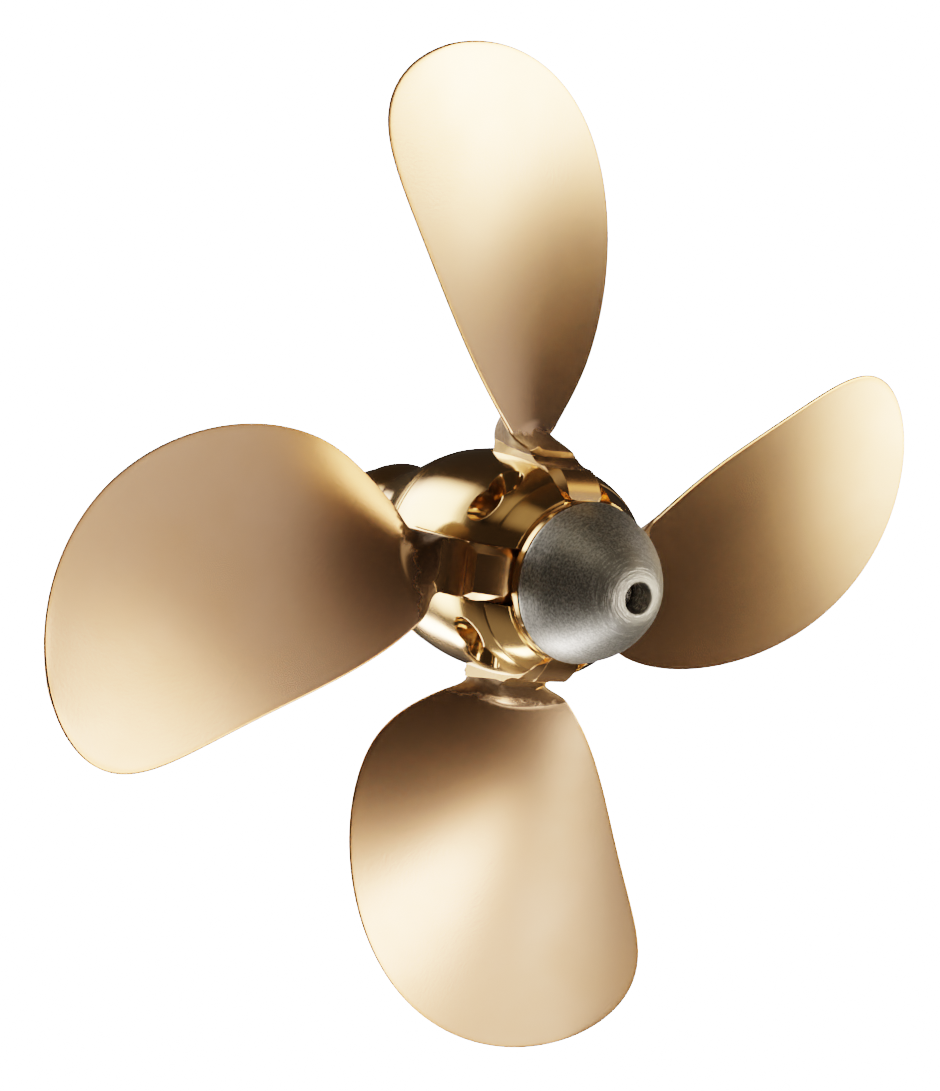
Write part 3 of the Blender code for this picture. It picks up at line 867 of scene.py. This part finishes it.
def blade_point(share, turn):
    """A point on the blade: share runs from root to tip, and turn runs round the section."""
    radius = ROOT_RADIUS + (TIP_RADIUS - ROOT_RADIUS) * share
    along = -cos(turn)
    chordwise = middle(share) + along * half_chord(share)
    angle = atan2(polynomial(PITCH_SHAPE, share), tau * radius)
    bulge = blade_thickness(share, along)
    nose = min(edge_distance(share, along) / (EDGE_THICKNESS / 2), 1)
    half = bulge / 2 * sqrt(1 - (1 - nose) ** 2)
    lift = bulge * (BACK_SHARE - 0.5) + (half if sin(turn) > 0 else -half)
    lift -= TRIM_DROP * trim(share) * (1 + along) / 2
    across = chordwise * cos(angle) - lift * sin(angle)
    forward = polynomial(RAKE_SHAPE, share) - SEAT_STATION
    forward += chordwise * sin(angle) + lift * cos(angle)
    return Vector((radius * sin(across / radius), forward, radius * cos(across / radius)))


print("blade tip at", [round(value, 4) for value in blade_point(1.0, 0.0)])

# %% [markdown]
# Near the hub the blade becomes a lug: a block as wide as its slot. Rings round this block
# are counted by a turn, like the sections, so that each point has a partner on the blade.
# The stern-left corner belongs to the trailing edge and the bow-right one to the leading
# edge. The other two corners are free, and rounded.

# %% Rings round the cast block
BLOCK_HALF_WIDTH = 0.0131
BACK_PLACE = -0.1521
BACK_SLOPE = 0.72
BACK_SLOPE_START = 0.0540
BACK_SLOPE_END = 0.0640
BACK_CROWN = 0.0019
FRONT_PLACE = -0.1210
FRONT_SWELL = 0.0055
FRONT_SWELL_LOW = 0.052
FRONT_SWELL_HIGH = 0.080
CORNER_ROUND = 0.0025
CORNER_ROUND_START = 0.0540
CORNER_ROUND_FULL = 0.0600
CORNER_SPREAD = radians(60)


def smooth_step(value):
    value = min(max(value, 0), 1)
    return value * value * (3 - 2 * value)


def block_corners(height):
    """The block's corners at a height, from the stern-left one round by the bow."""
    rise = min(height, BACK_SLOPE_END) - BACK_SLOPE_START
    back = BACK_PLACE + BACK_SLOPE * rise
    way = (height - FRONT_SWELL_LOW) / (FRONT_SWELL_HIGH - FRONT_SWELL_LOW)
    front = FRONT_PLACE + FRONT_SWELL * sin(pi * min(max(way, 0), 1))
    half = BLOCK_HALF_WIDTH
    return [Vector((x, y, height)) for x, y in (
        (-half, back), (-half, front), (half, front), (half, back),
    )]


def ring_spot(corners, way):
    """The place a length of way round the block. The stern side is slightly domed."""
    sides = [(corners[i], corners[(i + 1) % 4]) for i in range(4)]
    way %= sum((end - start).length for start, end in sides)
    for start, end in sides:
        length = (end - start).length
        if way <= length:
            break
        way -= length
    spot = start.lerp(end, min(way / length, 1))
    if start is corners[3]:
        spot.y -= BACK_CROWN * (1 - (spot.x / BLOCK_HALF_WIDTH) ** 2)
    return spot


def corner_shares(corners, turn):
    """How near a turn is to the free corner on the bow side and to the one at the stern."""
    deep = corners[1].y - corners[0].y
    place = pi * deep / (deep + 2 * BLOCK_HALF_WIDTH)
    return [
        smooth_step(1 - abs(turn - place - side * pi) / CORNER_SPREAD) for side in (0, 1)
    ]


def root_point(height, turn):
    """A point on the cast block under the blade, on a ring at one height."""
    corners = block_corners(height)
    bow, stern = corner_shares(corners, turn)
    rise = (height - CORNER_ROUND_START) / (CORNER_ROUND_FULL - CORNER_ROUND_START)
    spread = CORNER_ROUND * max(bow, stern * smooth_step(rise))
    way = turn / pi * (corners[1].y - corners[0].y + 2 * BLOCK_HALF_WIDTH)
    spots = [ring_spot(corners, way + spread * step) for step in (-1, -0.5, 0, 0.5, 1)]
    return sum(spots, Vector()) / len(spots)


print("block width:", 2 * BLOCK_HALF_WIDTH)

# %% [markdown]
# The blade's sections are blended into these rings. The two edges leave the block at once
# and the free corners later, and the one on the bow side stands out as a cast shoulder.
# The rows of the blade lie closer together towards the tip, where its outline turns.

# %% From the block to the blade
AROUND_STEPS = 144
ROOT_ROWS = 28
BLADE_ROWS = 82
ROOT_START = 0.0520
ROOT_END = 0.0960
BLEND_START = 0.0555
QUICK_BLEND = 0.0140
SLOW_BLEND = 0.0400
BLEND_POWER = 2.2
LAST_TURN = radians(89.4)


def root_blend(height, turn):
    """How far a point has left the block for the blade."""
    bow, stern = corner_shares(block_corners(height), turn)
    length = QUICK_BLEND + (SLOW_BLEND - QUICK_BLEND) * bow
    way = min(max((height - BLEND_START) / length, 0), 1)
    quick = 1 - (1 - way) ** BLEND_POWER
    return quick + (smooth_step(way) - quick) * max(bow, stern)


def sweep_point(row, turn):
    """A point of the whole sweep. Rows below ROOT_ROWS belong to the root."""
    if row <= ROOT_ROWS:
        height = ROOT_START + (ROOT_END - ROOT_START) * row / ROOT_ROWS
        share = max((height - ROOT_RADIUS) / (TIP_RADIUS - ROOT_RADIUS), 0)
        return root_point(height, turn).lerp(blade_point(share, turn), root_blend(height, turn))
    first = (ROOT_END - ROOT_RADIUS) / (TIP_RADIUS - ROOT_RADIUS)
    first_turn = atan2(first, sqrt(1 - first**2))
    turn_out = first_turn + (LAST_TURN - first_turn) * (row - ROOT_ROWS) / BLADE_ROWS
    return blade_point(sin(turn_out), turn)


def fill_holes(form):
    rim = [edge for edge in form.edges if edge.is_boundary]
    bmesh.ops.holes_fill(form, edges=rim, sides=0)


rows = ROOT_ROWS + BLADE_ROWS
sweep = bmesh.new()
bmesh.ops.create_grid(sweep, x_segments=AROUND_STEPS, y_segments=rows, size=0.5)
for vert in sweep.verts:
    row = round(rows * (vert.co.y + 0.5))
    vert.co = sweep_point(row, tau * (vert.co.x + 0.5) % tau)
bmesh.ops.remove_doubles(sweep, verts=sweep.verts, dist=MERGE_DISTANCE)
fill_holes(sweep)
sweep_mesh = mesh_from(sweep, "blade_sweep", satin_bronze)
print("blade sweep:", len(sweep_mesh.polygons), "faces")

# %% [markdown]
# ## The lug
#
# The lug's round end carries bevel teeth. Each lug meshes with its two neighbours, so all
# four blades swing together. Every gap between two teeth is cut by a wedge that narrows
# towards the point where the two pins' axes meet, as bevel gears are cut.

# %% Gaps between the teeth
TOOTH_COUNT = 16
TOOTH_ADDENDUM = 0.0016
TOOTH_DEDENDUM = 0.0022
TOOTH_GAP_SHARE = 0.60
TOOTH_FLANK_ANGLE = radians(20)
TOOTH_FIRST_ANGLE = -126.0
TOOTH_LAST_ANGLE = 12.0
WEDGE_SCALES = (0.60, 1.10)
WEDGE_TOP = 2.5


def tooth_wedge(apex, side, angle):
    """One tooth gap. Angle 0 points to the stern and 90 degrees away from the shaft."""
    outward = Vector((0, -cos(angle), sin(angle)))
    sideways = Vector((0, sin(angle), cos(angle)))
    along = Vector((-side * LUG_RADIUS, 0, 0)) + outward * LUG_RADIUS
    normal = (Vector((side, 0, 0)) + outward).normalized()
    form = bmesh.new()
    for scale in WEDGE_SCALES:
        ring = []
        for level, signs in ((-TOOTH_DEDENDUM, (-1, 1)), (WEDGE_TOP * TOOTH_ADDENDUM, (1, -1))):
            half = TOOTH_GAP_SHARE * pi * LUG_RADIUS / TOOTH_COUNT
            half += level * sin(TOOTH_FLANK_ANGLE)
            for sign in signs:
                spot = apex + scale * (along + level * normal + sign * half * sideways)
                ring.append(form.verts.new(spot))
        form.faces.new(ring)
    bmesh.ops.bridge_loops(form, edges=form.edges[:])
    return form


pitch = 360.0 / TOOTH_COUNT
wedges = []
for side in (-1, 1):
    apex = Vector((side * PIN_HEIGHT, 0, 0))
    angle = -90.0 - 4 * pitch + (pitch / 2 if side < 0 else 0)
    while angle <= TOOTH_LAST_ANGLE:
        if angle >= TOOTH_FIRST_ANGLE:
            wedges.append(tooth_wedge(apex, side, radians(angle)))
        angle += pitch
gaps = mesh_from(join_forms(*wedges), "tooth_gaps", machined_bronze)
print("tooth gaps:", len(wedges))

# %% [markdown]
# The end itself is turned about the pin's axis with a 45 degree bevel at each side. Then
# the gaps, a flat crest and a tapered stern end are cut, and it moves to its pin.

# %% Lug end
LUG_STEPS = 144
LUG_REACH = 2 * LUG_RADIUS
LUG_CREST = 0.0506
LUG_END_HALF_WIDTH = 0.0074
LUG_END_HEIGHT = 0.0375
LUG_TAPER_DEPTH = 0.0085
LUG_TAPER_OVERRUN = 0.002


def taper_cutter():
    """Two three-sided bars that narrow the lug's stern end at 45 degrees."""
    low = LUG_END_HEIGHT - PIN_HEIGHT
    rise = LUG_HALF_WIDTH + LUG_TAPER_OVERRUN - LUG_END_HALF_WIDTH
    form = bmesh.new()
    for side in (-1, 1):
        inner = side * LUG_END_HALF_WIDTH
        outer = side * (LUG_END_HALF_WIDTH + rise)
        corners = [(inner, low), (outer, low), (outer, low + rise)]
        length = LUG_TAPER_DEPTH - LUG_RADIUS + LUG_REACH
        pull_out(form, [(x, -LUG_REACH, z) for x, z in corners], (0, length, 0))
    return mesh_from(form, "taper", machined_bronze)


bevel_radius = PIN_HEIGHT - LUG_HALF_WIDTH + TOOTH_ADDENDUM * sqrt(2)
end_half_width = PIN_HEIGHT - LUG_RADIUS + TOOTH_ADDENDUM * sqrt(2)
lug_blank = mesh_from(turned([
    (-LUG_HALF_WIDTH, 0.0), (-LUG_HALF_WIDTH, bevel_radius), (-end_half_width, LUG_RADIUS),
    (end_half_width, LUG_RADIUS), (LUG_HALF_WIDTH, bevel_radius), (LUG_HALF_WIDTH, 0.0),
], LUG_STEPS, along=(1, 0, 0)), "lug_end", machined_bronze)
low, high = LUG_CREST - PIN_HEIGHT, LUG_REACH
crest = mesh_from(
    prism([(-high, low), (high, low), (high, high), (-high, high)], high), "crest",
    machined_bronze,
)
lug_mesh = carve("lug_end", lug_blank, gaps, crest, taper_cutter())
lug_mesh.transform(Matrix.Translation((0, -PIN_STATION, PIN_HEIGHT)))
print("lug end:", len(lug_mesh.polygons), "faces")

# %% [markdown]
# Between the crest and the blade a ball-nosed cutter has swept a hollow band across the
# lug, so that the lug clears the hub when the blade folds. Where the band runs out on the
# casting's sloping front it leaves a lens-shaped face, which is very slightly domed.

# %% Block, band and blade in one
BLOCK_OUTLINE = (
    (-0.1670, 0.0490), (-0.1640, LUG_CREST), (-0.1600, 0.0512), (-0.1560, 0.0530),
    (-0.1525, 0.0542), (-0.1458, 0.0542), (-0.1205, 0.0577), (-0.1205, 0.0505),
    (-0.1235, 0.0475), (-0.1370, 0.0265), (-PIN_STATION, PIN_HEIGHT),
)
BAND_CENTRE = (0, -0.1632, 0.0679)
BAND_RADIUS = 0.0173
BAND_LENGTH = 0.0265
BAND_STEPS = 96
BAND_LIMITS = (((0, 0, 0.0605), (0, 0, 1)), ((-0.0131, 0, 0.0562), (-0.40, 0, 0.90)))
LENS_RADIUS = 0.078
LENS_LENGTH = 0.2
LENS_STEPS = 256
LENS_PLACE = Vector((0, -0.1528, 0.0541))
LENS_ALONG = Vector((0, 0.46, 0.888))
LENS_OUT = Vector((0, -0.888, 0.46))


def band_cutter():
    form = bar(BAND_RADIUS, BAND_LENGTH, BAND_STEPS, crosswise(BAND_CENTRE))
    for place, outward in BAND_LIMITS:
        bmesh.ops.bisect_plane(
            form, geom=form.verts[:] + form.edges[:] + form.faces[:],
            plane_co=place, plane_no=outward, clear_outer=True,
        )
        fill_holes(form)
    band = mesh_from(form, "band", machined_bronze)
    centre = LENS_PLACE - LENS_OUT * LENS_RADIUS
    across = Vector((1, 0, 0))
    turn = Matrix((across, LENS_ALONG.cross(across), LENS_ALONG)).transposed()
    lens = mesh_from(bar(
        LENS_RADIUS, LENS_LENGTH, LENS_STEPS, Matrix.Translation(centre) @ turn.to_4x4(),
    ), "lens", machined_bronze)
    return carve("band", band, lens)


block_mesh = mesh_from(prism(BLOCK_OUTLINE, LUG_HALF_WIDTH), "lug_block", machined_bronze)
bore_mesh = mesh_from(bar(
    PIN_BORE_RADIUS, 4 * LUG_HALF_WIDTH, BORE_SEGMENTS,
    crosswise((0, -PIN_STATION, PIN_HEIGHT)),
), "pin_bore", machined_bronze)
blade_mesh = carve(
    "blade", sweep_mesh, band_cutter(), bore_mesh, unions=(block_mesh, lug_mesh),
)
print("blade:", len(blade_mesh.polygons), "faces")

# %% [markdown]
# The satin material needs two numbers at each point. `cast` is 1 on the as-cast shoulder,
# where the block still stands out past the ground blade, and just above the milled band.
# `rim` rises in the last few millimetres before the blade's outline.

# %% Numbers for the material
CAST_FULL = 0.0590
CAST_NONE = 0.0700
SHOULDER_TOP = 0.0850
SHOULDER_DEPTH = 0.0012
RIM_START = 0.0750
RIM_WIDTH = 0.0030


def place_on_blade(place):
    """A point's share of the way out, its place along the chord and its lift from it."""
    radius = sqrt(place.x**2 + place.z**2)
    share = min(max((radius - ROOT_RADIUS) / (TIP_RADIUS - ROOT_RADIUS), 0), 1)
    angle = atan2(polynomial(PITCH_SHAPE, share), tau * radius)
    across = radius * atan2(place.x, place.z)
    forward = place.y + SEAT_STATION - polynomial(RAKE_SHAPE, share)
    chordwise = across * cos(angle) + forward * sin(angle) - middle(share)
    lift = forward * cos(angle) - across * sin(angle)
    return share, chordwise / max(half_chord(share), MERGE_DISTANCE), lift


cast, rim = [], []
for vert in blade_mesh.vertices:
    share, along, lift = place_on_blade(vert.co)
    near_band = 1 - smooth_step((vert.co.z - CAST_FULL) / (CAST_NONE - CAST_FULL))
    along = min(max(along, -1), 1)
    proud = lift - BACK_SHARE * blade_thickness(share, along)
    shoulder = smooth_step(proud / SHOULDER_DEPTH) if vert.co.z < SHOULDER_TOP else 0.0
    cast.append(max(near_band, shoulder))
    near_rim = smooth_step(1 - edge_distance(share, along) / RIM_WIDTH)
    rim.append(near_rim if vert.co.z > RIM_START else 0.0)
for name, values in (("cast", cast), ("rim", rim)):
    blade_mesh.attributes.new(name, "FLOAT", "POINT").data.foreach_set("value", values)
smooth_shading(blade_mesh)
blades = quarter_turns("blade_bronze", blade_mesh)
print("blades:", len(blades))

# %% [markdown]
# ## Putting the pieces on the model
#
# Every piece already lies where it belongs, so it only has to be told which body carries
# it and which plain solid it stands for.

# %% Bodies and solids
def mount(piece, body, node):
    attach(piece, body)
    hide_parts(node)


mount(hub_piece, "body", "hub")
mount(seat_piece, "body", "anode_seat")
mount(anode_piece, "body", "anode")
mount(screw_piece, "body", "anode_screw")
for number, (pin, blade) in enumerate(zip(pins, blades), start=1):
    mount(pin, "body", f"pivot_pin_{number}")
    mount(blade, f"blade_{number}_body", f"blade_{number}")

# %% [markdown]
# ## The studio
#
# The propeller stands in a white studio. A softbox is a flat panel that glows and fades
# towards its rim, and only reflections see it. Its place and its half sizes are angles seen
# from the propeller: zero is towards the camera, and positive is to the camera's right. The
# panels are far away, so that all four blades see them in the same place.

# %% A panel that glows
STUDIO_CENTRE = Vector((0, -0.15, 0))
PANEL_DISTANCE = 5.0
PANEL_FADE = 0.35


def studio_direction(side, height):
    """A unit vector from two angles in degrees."""
    turn = CAMERA_AZIMUTH + radians(side)
    level = cos(radians(height))
    return Vector((level * sin(turn), -level * cos(turn), sin(radians(height))))


def glow_material(name, colour):
    """A material that only glows, with its tree and the socket for its strength."""
    material = bpy.data.materials.new(name)
    material.use_nodes = True
    tree = material.node_tree
    tree.nodes.clear()
    light = add_node(tree, "Emission", {"Color": colour})
    add_node(tree, "OutputMaterial", {"Surface": light.outputs[0]})
    return material, tree, light.inputs["Strength"]


def fading(tree, strength):
    """The strength, less and less towards the panel's rim."""
    place = add_node(tree, "SeparateXYZ", {0: add_node(tree, "TexCoord").outputs["UV"]})
    for across in list(place.outputs)[:2]:
        off_centre = maths(tree, "ABSOLUTE", maths(tree, "SUBTRACT", across, 0.5))
        from_rim = maths(tree, "SUBTRACT", 0.5, off_centre)
        share = rescale(tree, from_rim, 0, PANEL_FADE, smooth=True)
        strength = maths(tree, "MULTIPLY", strength, share)
    return strength


def softbox(name, side, height, half_width, half_height, lean, colour, strength):
    form = bmesh.new()
    form.loops.layers.uv.verify()
    bmesh.ops.create_grid(form, x_segments=1, y_segments=1, size=0.5, calc_uvs=True)
    material, tree, socket = glow_material(name, colour)
    feed(socket, fading(tree, strength))
    panel = link_object(name, mesh_from(form, name, material))
    out = studio_direction(side, height)
    turn = out.to_track_quat("Z", "Y").to_matrix().to_4x4()
    wide, tall = (2 * PANEL_DISTANCE * tan(radians(half)) for half in (half_width, half_height))
    panel.matrix_world = (
        Matrix.Translation(STUDIO_CENTRE + out * PANEL_DISTANCE) @ turn
        @ Matrix.Rotation(radians(lean), 4, "Z") @ Matrix.Diagonal((wide, tall, 1, 1))
    )
    panel.visible_camera = False
    return panel


print("towards the camera:", [round(value, 2) for value in studio_direction(0, 0)])

# %% [markdown]
# Two tall softboxes on the right make the long soft gradients on the blades, three on the
# left and behind brighten the hub, and weak ones fill in above and below. A golden one edges
# the left blade. A row holds a name, side and height, half width and half height, the lean,
# the colour and the strength.

# %% Softboxes
WARM_WHITE = (1.0, 0.91, 0.71, 1)
PALE_PINK = (1.0, 0.87, 0.75, 1)
GOLD = (1.0, 0.70, 0.35, 1)
WHITE = (1.0, 0.98, 0.95, 1)
COOL_WHITE = (1.0, 0.96, 0.99, 1)
softboxes = [softbox(*row) for row in (
    ("softbox_right", 86.1, 1.8, 14.5, 25, -4, WARM_WHITE, 24),
    ("softbox_front_right", 41.5, -10.3, 6.5, 27.7, -21, PALE_PINK, 21),
    ("softbox_left", -124.9, 17.5, 21.5, 21.5, 47, WHITE, 12.5),
    ("softbox_low_left", -103.7, -19.5, 25.4, 11.7, 58, WHITE, 13.4),
    ("softbox_behind_left", -144.3, -53.7, 8, 42.7, -3, WHITE, 32),
    ("softbox_band", 83.6, 26.6, 60, 27.1, 11, COOL_WHITE, 0.66),
    ("softbox_gold", 94, 43, 18, 7, 0, GOLD, 2.5),
    ("softbox_high", -40, 60, 38, 20, 0, WARM_WHITE, 0.42),
    ("softbox_low", 40.8, -45.2, 46.9, 5.2, 57, WHITE, 4.2),
)]
print("softboxes:", len(softboxes))

# %% [markdown]
# The floor and the room are plain white for the camera and nearly dark for the metal, so
# that the softboxes alone draw the shapes. A Light Path node tells the two kinds of ray
# apart. Only low behind the propeller the room keeps a faint glow for the metal.

# %% Floor and room
FLOOR_HEIGHT = -0.30
FLOOR_HALF_SIZE = 6
PAPER = (1, 1, 1, 1)
PAPER_STRENGTH = 20.0
ROOM_DARK = (0.030, 0.027, 0.022, 1)
ROOM_GLOW = (0.28, 0.27, 0.25, 1)
ROOM_GLOW_PLACE = (-140, -70)
ROOM_GLOW_NONE = radians(55)
ROOM_GLOW_FULL = radians(20)


form = bmesh.new()
bmesh.ops.create_grid(form, x_segments=1, y_segments=1, size=FLOOR_HALF_SIZE)
bmesh.ops.translate(form, vec=(0, 0, FLOOR_HEIGHT), verts=form.verts)
paper, tree, socket = glow_material("floor_paper", PAPER)
feed(socket, PAPER_STRENGTH)
floor = link_object("floor", mesh_from(form, "floor", paper))
floor.visible_glossy = floor.visible_diffuse = floor.visible_shadow = False

world = bpy.data.worlds.new("studio")
bpy.context.scene.world = world
world.use_nodes = True
tree = world.node_tree
tree.nodes.clear()
below = add_node(tree, "VectorMath", {
    0: add_node(tree, "TexCoord").outputs["Generated"],
    1: tuple(studio_direction(*ROOM_GLOW_PLACE)),
}, operation="DOT_PRODUCT").outputs["Value"]
glow = rescale(tree, below, cos(ROOM_GLOW_NONE), cos(ROOM_GLOW_FULL), smooth=True)
colour = blend_colours(tree, glow, ROOM_DARK, ROOM_GLOW)
for_metal = add_node(tree, "Background", {"Color": colour, "Strength": 1.0})
for_camera = add_node(tree, "Background", {"Color": PAPER, "Strength": PAPER_STRENGTH})
seen = add_node(tree, "LightPath").outputs["Is Camera Ray"]
both = {0: seen, 1: for_metal.outputs[0], 2: for_camera.outputs[0]}
light = add_node(tree, "MixShader", both).outputs[0]
add_node(tree, "OutputWorld", {"Surface": light})
bpy.context.scene.view_settings.view_transform = "Filmic"
bpy.context.scene.view_settings.look = "None"
print("view transform:", bpy.context.scene.view_settings.view_transform)

# %% [markdown]
# The dressed model has to stay inside the imported one's box.
